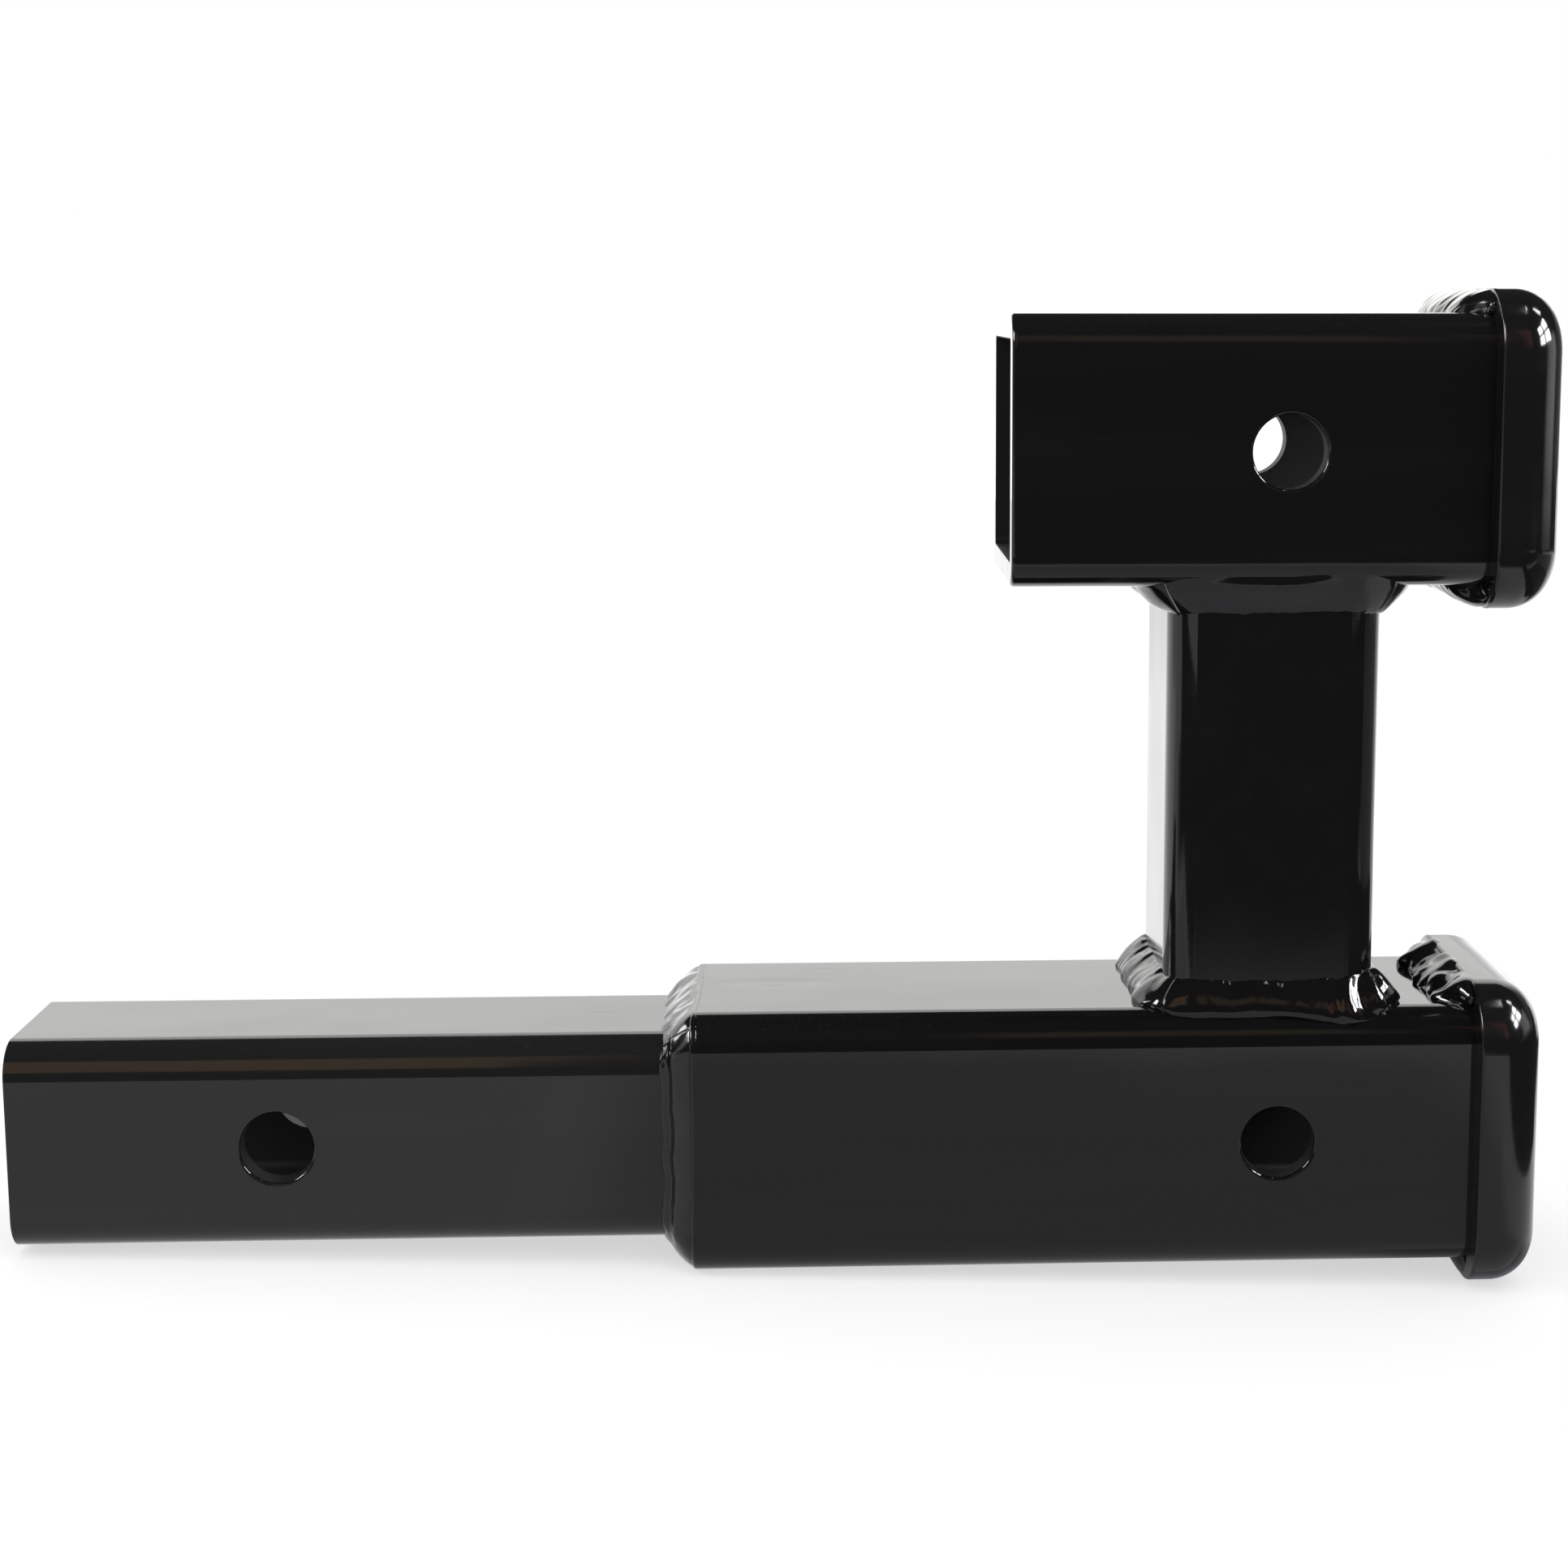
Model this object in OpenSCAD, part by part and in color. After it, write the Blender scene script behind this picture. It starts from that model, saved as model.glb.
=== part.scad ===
// Two-level hitch receiver extender, welded from square tube.
// A shank on the left plugs into the vehicle. A lower receiver carries it, and a
// riser carries a second receiver above. Both mouths open to the right and wear
// a forged collar.
// X runs along the tubes towards the mouths, Y across them and Z up. The origin
// is the centre of the shank's pin hole. Left is -Y and right is +Y, as seen by
// a driver who faces -X.

/* [Shank] */
// Outside width of the square shank
shank_w = 50.8; // [40:0.1:64]
// Wall of the shank tube
shank_wall = 6.35; // [4:0.05:9]
// Outside corner radius of the shank tube
shank_corner_r = 8.5; // [5:0.1:12]
// Length of shank that stands out of the lower receiver
shank_reach = 162; // [120:0.5:300]
// Length of shank held inside the lower receiver
shank_insert = 50; // [30:0.5:80]
// From the shank's free end to its pin hole
shank_pin_back = 63.5; // [35:0.5:100]

/* [Receivers] */
// Gap on each side between a shank and the socket it slides into
socket_play = 0.35; // [0.2:0.05:1]
// Wall of the receiver tubes
receiver_wall = 6; // [4.5:0.05:9]
// Outside corner radius of the receiver tubes
receiver_corner_r = 8; // [7:0.1:11]
// Lower receiver, from its front end to its mouth
lower_len = 204; // [160:0.5:320]
// Upper receiver, from its front end to its mouth
upper_len = 128; // [110:0.5:180]
// Height from the lower receiver's axis to the upper one's
rise = 165.1; // [120:0.1:260]
// From the mouths back to the receivers' pin holes
mouth_pin_back = 63.5; // [45:0.5:90]
// Rounding of the outer edge at a receiver's front end
tube_end_r = 1; // [0.4:0.1:2]

/* [Riser] */
// Outside width of the square riser
riser_w = 50.8; // [38:0.1:54]
// Wall of the riser tube
riser_wall = 6.35; // [4:0.05:9]
// Outside corner radius of the riser tube
riser_corner_r = 8.5; // [5:0.1:12]
// From the mouths back to the riser's centre line
riser_back = 64.5; // [52:0.5:90]

/* [Pin holes] */
// Diameter of the cross holes for the hitch pins
pin_hole_d = 17.5; // [14:0.1:20]
// Rounding of each pin hole's outer rim
pin_rim_r = 0.8; // [0.3:0.1:1.5]

/* [Collars] */
// Wall of a collar where it goes round its receiver
collar_wall = 5.65; // [4:0.05:9]
// Length of a collar along its receiver
collar_len = 16; // [12:0.5:28]
// How far a collar runs on past the end of its tube, as a lip
collar_lip = 6; // [3:0.5:9]
// Gap on each side between a tube and the collar round it
collar_play = 0.1; // [0.05:0.05:0.4]
// Outside corner radius of a collar
collar_corner_r = 15; // [12:0.5:18]
// Rounding of a collar's outer edge at the mouth
collar_nose_r = 10.5; // [3:0.5:12]
// Rounding of a collar's outer edge at its front face
collar_edge_r = 0.8; // [0.3:0.1:1.5]
// Corner radius of the square opening in a collar's lip
lip_corner_r = 5; // [3:0.5:7]

/* [Weld beads] */
// Leg of the shank's bead along the shank
shank_bead_leg = 7.5; // [5:0.1:10]
// Leg of the riser's foot bead on the lower receiver, front side
foot_leg_front = 7.8; // [5:0.1:10]
// Leg of the riser's foot bead on the lower receiver, back side
foot_leg_back = 5.2; // [4:0.1:10]
// Leg of the riser's foot bead on the lower receiver, left and right sides
foot_leg_side = 4.4; // [3:0.1:6]
// Leg of the riser's foot bead up the riser
foot_leg_up = 6.8; // [5:0.1:10]
// Leg of the riser's head bead on the upper receiver, front side
head_leg_front = 9; // [5:0.1:10]
// Leg of the riser's head bead on the upper receiver, back side
head_leg_back = 6; // [4:0.1:10]
// Leg of the riser's head bead on the upper receiver, left and right sides
head_leg_side = 5.2; // [3:0.1:6]
// Leg of the riser's head bead down the riser
head_leg_down = 6.6; // [5:0.1:10]
// Leg of a collar's bead along its receiver
collar_bead_leg = 8; // [5:0.1:10]
// How far the face of a bead bulges past a flat fillet
bead_bulge = 1; // [0:0.1:2]
// Height of the ripples on a bead
ripple_h = 0.7; // [0:0.1:1.2]
// Spacing of the ripples along a bead
ripple_pitch = 8; // [5:0.5:14]

/* [Hidden] */
$fn = 64;

// Cross sections
shank_bore_w = shank_w - 2 * shank_wall;
socket_w = shank_w + 2 * socket_play;
receiver_w = socket_w + 2 * receiver_wall;
riser_bore_w = riser_w - 2 * riser_wall;
collar_bore_w = receiver_w + 2 * collar_play;
collar_w = collar_bore_w + 2 * collar_wall;
least_corner_r = 0.5;
shank_bore_r = max(shank_corner_r - shank_wall, least_corner_r);
socket_r = max(receiver_corner_r - receiver_wall, least_corner_r);
riser_bore_r = max(riser_corner_r - riser_wall, least_corner_r);
collar_bore_r = receiver_corner_r + collar_play;

// The nose keeps a flat land round the opening
lip_land = 1;
nose_r = min(collar_nose_r, (collar_w - socket_w) / 2 - lip_land, collar_len - collar_edge_r - lip_land);

// Stations along X
shank_x = -shank_pin_back;
lower_x = shank_x + shank_reach;
mouth_x = lower_x + lower_len;
upper_x = mouth_x - upper_len;
collar_x = mouth_x - collar_len;
tube_end_x = mouth_x - collar_lip;
pin_x = mouth_x - mouth_pin_back;
riser_x = mouth_x - riser_back;
shank_len = shank_reach + shank_insert;

// Levels along Z
foot_z = receiver_w / 2;
head_z = rise - receiver_w / 2;

// Beads: steps along a flat and round half a corner, points across the face and
// under the base of each section, and the thickness of a bead's toes
flat_steps = 18;
corner_steps = 4;
face_points = 5;
base_points = 4;
toe_t = 0.15;
ripple_sweep = 0.35;
wander = 0.06;
// A collar's bead stops this many stations short of mid-corner and shrinks there
bead_skip = 2;
end_fade = 0.85;
// Gap that keeps a bead's facets clear of a tube's round corner under them
seat_gap = 0.2;
cut_through = 1;

paint = [0.07, 0.07, 0.075];
weld_paint = [0.13, 0.13, 0.14];

// One side of a rounded square runs from the middle of a corner to the middle of
// the next: [turn of its normal, place along the flat from -1 to 1] at each station
stations = [
    for (k = [0 : corner_steps]) [-45 + 45 * k / corner_steps, -1],
    for (k = [1 : flat_steps - 1]) [0, 2 * k / flat_steps - 1],
    for (k = [0 : corner_steps]) [45 * k / corner_steps, 1]
];
last = len(stations) - 1;
function side_len(w, r) = w - 2 * r + PI * r / 2;
function turned(p, a) = [p.x * cos(a) - p.y * sin(a), p.x * sin(a) + p.y * cos(a)];
function side_normal(station, side) = turned([1, 0], station[0] + 90 * side);
function side_point(w, r, station, side) =
    let (
        flat_half = w / 2 - r,
        clear_r = station[0] == 0 ? r : r / cos(45 / corner_steps)
    )
    turned([flat_half, station[1] * flat_half], 90 * side) + clear_r * side_normal(station, side);

// How far a tube's rounded corner lies below its flat, at a distance from the
// tube's centre plane
function corner_drop(w, r, across) =
    let (past = min(abs(across) - (w / 2 - r), r))
    past <= 0 ? 0 : max(0, r - sqrt(pow(r + seat_gap, 2) - past * past));

// A leg that blends from one side's value to the next round a corner
function leg_at(n, front, back, side) = n.x * n.x * (n.x < 0 ? front : back) + n.y * n.y * side;

// Legs wander a little along a bead and come back to the same value at its ends
function wandered(leg, share) = leg * (1 + wander * (sin(720 * share) + 0.6 * sin(1800 * share)));

// The section of a fillet bead, as [out, up] from its root: out along the base
// and up the wall. drops says how far the base has fallen away at each share of
// the way from the root to the toe.
function fillet(drops, out, up, share, ripples) =
    let (
        toe = [out, toe_t - drops[base_points]],
        top = [toe_t, up],
        chord = top - toe,
        normal = [chord.y, -chord.x] / norm(chord)
    )
    [
        for (k = [0 : base_points]) [out * base_shares[k], -drops[k]],
        for (k = [0 : face_points])
            let (
                u = k / face_points,
                swell = 4 * u * (1 - u),
                wave = 0.5 + 0.5 * cos(360 * (ripples * share - ripple_sweep * swell))
            )
            toe + chord * u + normal * swell * (bead_bulge + ripple_h * wave),
        [0, up]
    ];
base_shares = [for (k = [0 : base_points]) sin(90 * k / base_points)];
level = [for (share = base_shares) 0];

// A solid through rings of points, closed by its first and last ring
module loft(rings) {
    n = len(rings);
    m = len(rings[0]);
    polyhedron(
        points = [for (ring = rings) each ring],
        faces = [
            [for (j = [0 : m - 1]) j],
            [for (j = [0 : m - 1]) n * m - 1 - j],
            for (i = [0 : n - 2], j = [0 : m - 1]) [i * m + j, (i + 1) * m + j, (i + 1) * m + (j + 1) % m],
            for (i = [0 : n - 2], j = [0 : m - 1]) [i * m + j, (i + 1) * m + (j + 1) % m, i * m + (j + 1) % m]
        ]
    );
}

module rounded_square(w, r) {
    square([w, w - 2 * r], center = true);
    square([w - 2 * r, w], center = true);
    for (sx = [-1, 1], sy = [-1, 1])
        translate([sx * (w / 2 - r), sy * (w / 2 - r)]) circle(r);
}

// A square bar along X, from x0
module bar(x0, len, w, r) {
    translate([x0, 0, 0]) rotate([90, 0, 90]) linear_extrude(len) rounded_square(w, r);
}

// Half of a bar's lengthwise section, with its outer edges rounded at both ends
module edge_profile(half, len, start_r, end_r) {
    difference() {
        square([half, len]);
        if (start_r > 0)
            translate([half - start_r, 0]) difference() {
                square(start_r);
                translate([0, start_r]) circle(start_r);
            }
        if (end_r > 0)
            translate([half - end_r, len - end_r]) difference() {
                square(end_r);
                circle(end_r);
            }
    }
}

// A square bar along X whose end edges are rounded all the way round its outline
module eased_bar(x0, len, w, r, start_r, end_r) {
    flat = w - 2 * r;
    translate([x0, 0, 0]) rotate([90, 0, 90]) {
        for (a = [0, 90])
            rotate(a) rotate([90, 0, 0]) linear_extrude(flat, center = true)
                for (flip = [0, 1]) mirror([flip, 0]) edge_profile(w / 2, len, start_r, end_r);
        for (a = [0 : 90 : 270])
            rotate(a) translate([flat / 2, flat / 2]) rotate_extrude(angle = 90)
                edge_profile(r, len, start_r, end_r);
    }
}

// A cross hole through a tube of width w, with its two outer rims rounded
module pin_hole(x, z, w) {
    r = pin_hole_d / 2;
    translate([x, 0, z]) rotate([90, 0, 0]) cylinder(d = pin_hole_d, h = w + 2 * cut_through, center = true);
    for (side = [0, 180])
        translate([x, 0, z]) rotate([90 + side, 0, 0]) translate([0, 0, w / 2 - pin_rim_r]) rotate_extrude()
            difference() {
                square([r + pin_rim_r, pin_rim_r + cut_through]);
                translate([r + pin_rim_r, 0]) circle(pin_rim_r);
            }
}

module shank() {
    color(paint) difference() {
        bar(shank_x, shank_len, shank_w, shank_corner_r);
        bar(shank_x - cut_through, shank_len + 2 * cut_through, shank_bore_w, shank_bore_r);
        pin_hole(shank_x + shank_pin_back, 0, shank_w);
    }
}

// The outside of a receiver tube, without its socket
module receiver_body(x0, z) {
    translate([0, 0, z])
        eased_bar(x0, tube_end_x - x0, receiver_w, receiver_corner_r, tube_end_r, 0);
}

module receiver(x0, z) {
    color(paint) difference() {
        receiver_body(x0, z);
        translate([0, 0, z]) bar(x0 - cut_through, mouth_x - x0, socket_w, socket_r);
        pin_hole(pin_x, z, receiver_w);
    }
}

module riser_body() {
    translate([riser_x, 0, foot_z]) linear_extrude(head_z - foot_z) rounded_square(riser_w, riser_corner_r);
}

module riser() {
    color(paint) difference() {
        riser_body();
        translate([riser_x, 0, foot_z - cut_through])
            linear_extrude(head_z - foot_z + 2 * cut_through) rounded_square(riser_bore_w, riser_bore_r);
    }
}

// A ring that goes over the tube and turns in past its end, so that its lip
// carries on the tube's socket
module collar(z) {
    color(paint) translate([0, 0, z]) difference() {
        eased_bar(collar_x, collar_len, collar_w, collar_corner_r, collar_edge_r, nose_r);
        bar(collar_x - cut_through, collar_len - collar_lip + cut_through, collar_bore_w, collar_bore_r);
        bar(tube_end_x - cut_through, collar_lip + 2 * cut_through, socket_w, lip_corner_r);
    }
}

// A bead's side 0 faces along the first axis of its outline's plane, side 1 along
// the second, and so on round
function ripples_on(length) = max(1, round(length / ripple_pitch));

// One run of the bead between the shank and the front end of the lower receiver
module shank_bead(side) {
    ripples = ripples_on(side_len(shank_w, shank_corner_r));
    face_w = receiver_w - 2 * tube_end_r;
    color(weld_paint) loft([
        for (i = [0 : last])
            let (
                share = i / last,
                root = side_point(shank_w, shank_corner_r, stations[i], side),
                toe = side_point(face_w, receiver_corner_r - tube_end_r, stations[i], side),
                width = norm(toe - root),
                out = (toe - root) / width
            )
            [
                for (p = fillet(level, width, wandered(shank_bead_leg, share), share, ripples))
                    [lower_x - p.y, root.x + out.x * p.x, root.y + out.y * p.x]
            ]
    ]);
}

// One run of the bead between the riser and a receiver's flat at height z. up is
// 1 at the riser's foot and -1 at its head.
module riser_bead(side, z, up, leg_front, leg_back, leg_side, leg_up) {
    ripples = ripples_on(side_len(riser_w, riser_corner_r));
    side_room = (receiver_w - riser_w) / 2 / (1 + 2 * wander);
    color(weld_paint) loft([
        for (k = [0 : last])
            let (
                i = up > 0 ? k : last - k,
                share = i / last,
                root = side_point(riser_w, riser_corner_r, stations[i], side),
                n = side_normal(stations[i], side),
                out = wandered(leg_at(n, leg_front, leg_back, min(leg_side, side_room)), share),
                drops = [
                    for (base_share = base_shares)
                        corner_drop(receiver_w, receiver_corner_r, root.y + n.y * out * base_share)
                ]
            )
            [
                for (p = fillet(drops, out, wandered(leg_up, share), share, ripples))
                    [riser_x + root.x + n.x * p.x, root.y + n.y * p.x, z + up * p.y]
            ]
    ]);
}

module foot_bead(side) {
    riser_bead(side, foot_z, 1, foot_leg_front, foot_leg_back, foot_leg_side, foot_leg_up);
}

module head_bead(side) {
    riser_bead(side, head_z, -1, head_leg_front, head_leg_back, head_leg_side, head_leg_down);
}

// The bead between a collar's front face and its tube, along the top or bottom
// and part of the way round the corners, tapering out at both ends
module collar_bead(z, side) {
    ripples = ripples_on(side_len(receiver_w, receiver_corner_r));
    step_up = (collar_w - receiver_w) / 2 - collar_edge_r;
    color(weld_paint) loft([
        for (i = [bead_skip : last - bead_skip])
            let (
                share = i / last,
                fade = sqrt(1 - end_fade * pow(abs(2 * i - last) / (last - 2 * bead_skip), 6)),
                root = side_point(receiver_w, receiver_corner_r, stations[i], side),
                n = side_normal(stations[i], side)
            )
            [
                for (p = fillet(level, fade * step_up, fade * wandered(collar_bead_leg, share), share, ripples))
                    [collar_x - p.y, root.x + n.x * p.x, z + root.y + n.y * p.x]
            ]
    ]);
}

shank();
receiver(lower_x, 0);  // lower_receiver
riser();
receiver(upper_x, rise);  // upper_receiver
collar(0);  // lower_collar
collar(rise);  // upper_collar
shank_bead(0);  // shank_bead_right
shank_bead(1);  // shank_bead_top
shank_bead(2);  // shank_bead_left
shank_bead(3);  // shank_bead_bottom
foot_bead(0);  // foot_bead_back
foot_bead(1);  // foot_bead_right
foot_bead(2);  // foot_bead_front
foot_bead(3);  // foot_bead_left
head_bead(0);  // head_bead_back
head_bead(1);  // head_bead_right
head_bead(2);  // head_bead_front
head_bead(3);  // head_bead_left
collar_bead(0, 1);  // lower_collar_bead_top
collar_bead(0, 3);  // lower_collar_bead_bottom
collar_bead(rise, 1);  // upper_collar_bead_top
collar_bead(rise, 3);  // upper_collar_bead_bottom
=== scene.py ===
import math

import bmesh
import bpy
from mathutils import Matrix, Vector, noise


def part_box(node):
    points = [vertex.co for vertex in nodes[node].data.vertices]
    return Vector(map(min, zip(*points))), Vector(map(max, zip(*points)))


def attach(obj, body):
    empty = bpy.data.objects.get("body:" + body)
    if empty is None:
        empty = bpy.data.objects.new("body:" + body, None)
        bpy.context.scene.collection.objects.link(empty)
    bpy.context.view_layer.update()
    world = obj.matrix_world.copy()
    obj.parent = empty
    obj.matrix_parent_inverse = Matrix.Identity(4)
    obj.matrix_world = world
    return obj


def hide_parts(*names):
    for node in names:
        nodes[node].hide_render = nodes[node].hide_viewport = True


# Two-level hitch receiver extender in gloss black paint: weld beads, paint, studio and camera
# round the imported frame. The frame is in metres; the beads are worked out in millimetres.

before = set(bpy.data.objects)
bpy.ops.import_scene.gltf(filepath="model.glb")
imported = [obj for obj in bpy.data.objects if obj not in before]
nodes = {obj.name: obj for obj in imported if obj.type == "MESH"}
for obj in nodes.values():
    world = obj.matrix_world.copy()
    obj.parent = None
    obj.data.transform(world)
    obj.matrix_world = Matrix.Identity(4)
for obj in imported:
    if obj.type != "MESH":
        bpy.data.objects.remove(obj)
bpy.context.view_layer.update()
scene = bpy.context.scene
mm = 0.001
print("frame loaded:", len(nodes), "nodes")


# Sizes read off the frame

def boxOf(node):
    low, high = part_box(node)
    return Vector(low) / mm, Vector(high) / mm


shankLow, shankHigh = boxOf("shank")
lowerLow, lowerHigh = boxOf("lower_receiver")
upperLow, upperHigh = boxOf("upper_receiver")
riserLow, riserHigh = boxOf("riser")
collarLow, collarHigh = boxOf("upper_collar")

tube = {
    "shankWidth": shankHigh.z - shankLow.z,
    "shankCorner": 8.5,
    "receiverWidth": lowerHigh.z - lowerLow.z,
    "receiverCorner": 8.0,
    "receiverEnd": lowerLow.x,
    "riserWidth": riserHigh.x - riserLow.x,
    "riserCorner": 8.5,
    "riserX": (riserLow.x + riserHigh.x) / 2,
    "footZ": riserLow.z,
    "headZ": riserHigh.z,
    "rise": (upperLow.z + upperHigh.z) / 2,
    "collarX": collarLow.x,
    "collarWidth": collarHigh.y - collarLow.y,
    "collarCorner": 15.0,
    "wall": 6.35,
    "pinFromEnd": 63.5,
    "pinRim": 0.8,
}


# Node helpers

def newTree(owner):
    owner.use_nodes = True
    owner.node_tree.nodes.clear()
    return owner.node_tree


def addNode(tree, kind, place=(0, 0), **values):
    node = tree.nodes.new(kind)
    node.location = place
    for key, value in values.items():
        if hasattr(node, key):
            setattr(node, key, value)
        else:
            node.inputs[key.replace("_", " ")].default_value = value
    return node


def mathNode(tree, operation, a, b=None, c=None, place=(0, 0), clamp=False):
    node = tree.nodes.new("ShaderNodeMath")
    node.operation = operation
    node.use_clamp = clamp
    node.location = place
    for socket, value in zip(node.inputs, (a, b, c)):
        if value is None:
            continue
        if isinstance(value, (int, float)):
            socket.default_value = value
        else:
            tree.links.new(value, socket)
    return node.outputs[0]


def remap(tree, value, low, high, toLow=0.0, toHigh=1.0, place=(0, 0)):
    node = addNode(tree, "ShaderNodeMapRange", place)
    node.interpolation_type = "SMOOTHSTEP"
    tree.links.new(value, node.inputs["Value"])
    for socket, number in zip(("From Min", "From Max", "To Min", "To Max"), (low, high, toLow, toHigh)):
        node.inputs[socket].default_value = number
    return node.outputs["Result"]


def newGroup(name, inputs, outputs):
    group = bpy.data.node_groups.new(name, "ShaderNodeTree")
    for label, default in inputs:
        socket = group.interface.new_socket(name=label, in_out="INPUT", socket_type="NodeSocketFloat")
        socket.default_value = default
    for label in outputs:
        group.interface.new_socket(name=label, in_out="OUTPUT", socket_type="NodeSocketFloat")
    start = addNode(group, "NodeGroupInput", (-900, 0))
    end = addNode(group, "NodeGroupOutput", (700, 0))
    return group, start, end


def useGroup(tree, group, place, **values):
    node = tree.nodes.new("ShaderNodeGroup")
    node.node_tree = group
    node.location = place
    for label, value in values.items():
        node.inputs[label].default_value = value
    return node


# Shared effects: orange peel and waves in the coat, drawing streaks, edge wear that is also a painted
# highlight, settled dust

def makePeelGroup():
    group, start, end = newGroup(
        "coatRelief", (("peelScale", 700.0), ("peel", 1.0), ("waveScale", 18.0), ("wave", 1.0)), ("height",))
    coords = addNode(group, "ShaderNodeTexCoord", (-900, 300))
    fine = addNode(group, "ShaderNodeTexNoise", (-600, 300), Detail=2.0, Roughness=0.5)
    broad = addNode(group, "ShaderNodeTexNoise", (-600, 0), Detail=1.0, Roughness=0.4)
    for node, scale in ((fine, "peelScale"), (broad, "waveScale")):
        group.links.new(coords.outputs["Object"], node.inputs["Vector"])
        group.links.new(start.outputs[scale], node.inputs["Scale"])
    small = mathNode(group, "MULTIPLY", fine.outputs[0], start.outputs["peel"], place=(-300, 300))
    large = mathNode(group, "MULTIPLY", broad.outputs[0], start.outputs["wave"], place=(-300, 0))
    total = mathNode(group, "ADD", small, large, place=(0, 100))
    group.links.new(total, end.inputs["height"])
    return group


def makeStreakGroup():
    group, start, end = newGroup(
        "drawStreaks", (("scale", 60.0), ("stretch", 0.06), ("amount", 1.0)), ("mask",))
    coords = addNode(group, "ShaderNodeTexCoord", (-1100, 300))
    spread = addNode(group, "ShaderNodeVectorMath", (-700, 300), operation="MULTIPLY")
    factors = addNode(group, "ShaderNodeCombineXYZ", (-900, 100), Y=1.0, Z=1.0)
    lines = addNode(group, "ShaderNodeTexNoise", (-500, 300), Detail=4.0, Roughness=0.6)
    group.links.new(start.outputs["stretch"], factors.inputs["X"])
    group.links.new(coords.outputs["Object"], spread.inputs[0])
    group.links.new(factors.outputs[0], spread.inputs[1])
    group.links.new(spread.outputs[0], lines.inputs["Vector"])
    group.links.new(start.outputs["scale"], lines.inputs["Scale"])
    shaped = remap(group, lines.outputs[0], 0.42, 0.7, place=(-250, 300))
    total = mathNode(group, "MULTIPLY", shaped, start.outputs["amount"], place=(0, 300))
    group.links.new(total, end.inputs["mask"])
    return group


# Lighter paint along sharp edges and hole rims: partly edge wear, partly a painted highlight standing in for
# the thin light line that these edges catch
def makeEdgeWearAndHighlightGroup():
    group, start, end = newGroup("wornEdgesAndHighlight", (("radius", 0.0006), ("breakScale", 260.0)), ("mask",))
    bevel = addNode(group, "ShaderNodeBevel", (-600, 200), samples=4)
    geometry = addNode(group, "ShaderNodeNewGeometry", (-600, 0))
    agree = addNode(group, "ShaderNodeVectorMath", (-350, 100), operation="DOT_PRODUCT")
    coords = addNode(group, "ShaderNodeTexCoord", (-900, -300))
    grit = addNode(group, "ShaderNodeTexNoise", (-600, -300), Detail=3.0)
    group.links.new(start.outputs["radius"], bevel.inputs["Radius"])
    group.links.new(bevel.outputs[0], agree.inputs[0])
    group.links.new(geometry.outputs["Normal"], agree.inputs[1])
    group.links.new(coords.outputs["Object"], grit.inputs["Vector"])
    group.links.new(start.outputs["breakScale"], grit.inputs["Scale"])
    turn = mathNode(group, "SUBTRACT", 1.0, agree.outputs["Value"], place=(-150, 100))
    edge = remap(group, turn, 0.02, 0.2, place=(50, 100))
    broken = remap(group, grit.outputs[0], 0.38, 0.62, 0.25, 1.0, place=(50, -300))
    total = mathNode(group, "MULTIPLY", edge, broken, place=(300, 0))
    group.links.new(total, end.inputs["mask"])
    return group


def makeDustGroup():
    group, start, end = newGroup("settledDust", (("scale", 500.0), ("amount", 1.0)), ("mask",))
    coords = addNode(group, "ShaderNodeTexCoord", (-900, 300))
    specks = addNode(group, "ShaderNodeTexNoise", (-600, 300), Detail=5.0, Roughness=0.7)
    patches = addNode(group, "ShaderNodeTexNoise", (-600, 0), Scale=22.0, Detail=2.0)
    geometry = addNode(group, "ShaderNodeNewGeometry", (-600, -300))
    parts = addNode(group, "ShaderNodeSeparateXYZ", (-400, -300))
    group.links.new(coords.outputs["Object"], specks.inputs["Vector"])
    group.links.new(coords.outputs["Object"], patches.inputs["Vector"])
    group.links.new(start.outputs["scale"], specks.inputs["Scale"])
    group.links.new(geometry.outputs["Normal"], parts.inputs[0])
    fine = remap(group, specks.outputs[0], 0.55, 0.75, place=(-350, 300))
    patch = remap(group, patches.outputs[0], 0.4, 0.7, 0.3, 1.0, place=(-350, 0))
    up = remap(group, parts.outputs["Z"], 0.1, 1.0, 0.04, 1.0, place=(-200, -300))
    spread = mathNode(group, "MULTIPLY", fine, patch, place=(-100, 200))
    facing = mathNode(group, "MULTIPLY", spread, up, place=(100, 100))
    total = mathNode(group, "MULTIPLY", facing, start.outputs["amount"], place=(300, 100))
    group.links.new(total, end.inputs["mask"])
    return group


# 1 inside a square tube whose wall starts at half from its middle line, 0 outside
def makeInsideGroup():
    group, start, end = newGroup(
        "insideTube", (("half", 0.02), ("middleY", 0.0), ("middleZ", 0.0)), ("mask",))
    coords = addNode(group, "ShaderNodeTexCoord", (-900, 200))
    parts = addNode(group, "ShaderNodeSeparateXYZ", (-700, 200))
    group.links.new(coords.outputs["Object"], parts.inputs[0])
    away = []
    for axis in "YZ":
        offset = mathNode(group, "SUBTRACT", parts.outputs[axis], start.outputs["middle" + axis],
                          place=(-500, 200))
        away.append(mathNode(group, "ABSOLUTE", offset, place=(-300, 200)))
    furthest = mathNode(group, "MAXIMUM", *away, place=(-100, 200))
    inside = mathNode(group, "LESS_THAN", furthest, start.outputs["half"], place=(100, 200))
    group.links.new(inside, end.inputs["mask"])
    return group


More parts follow.
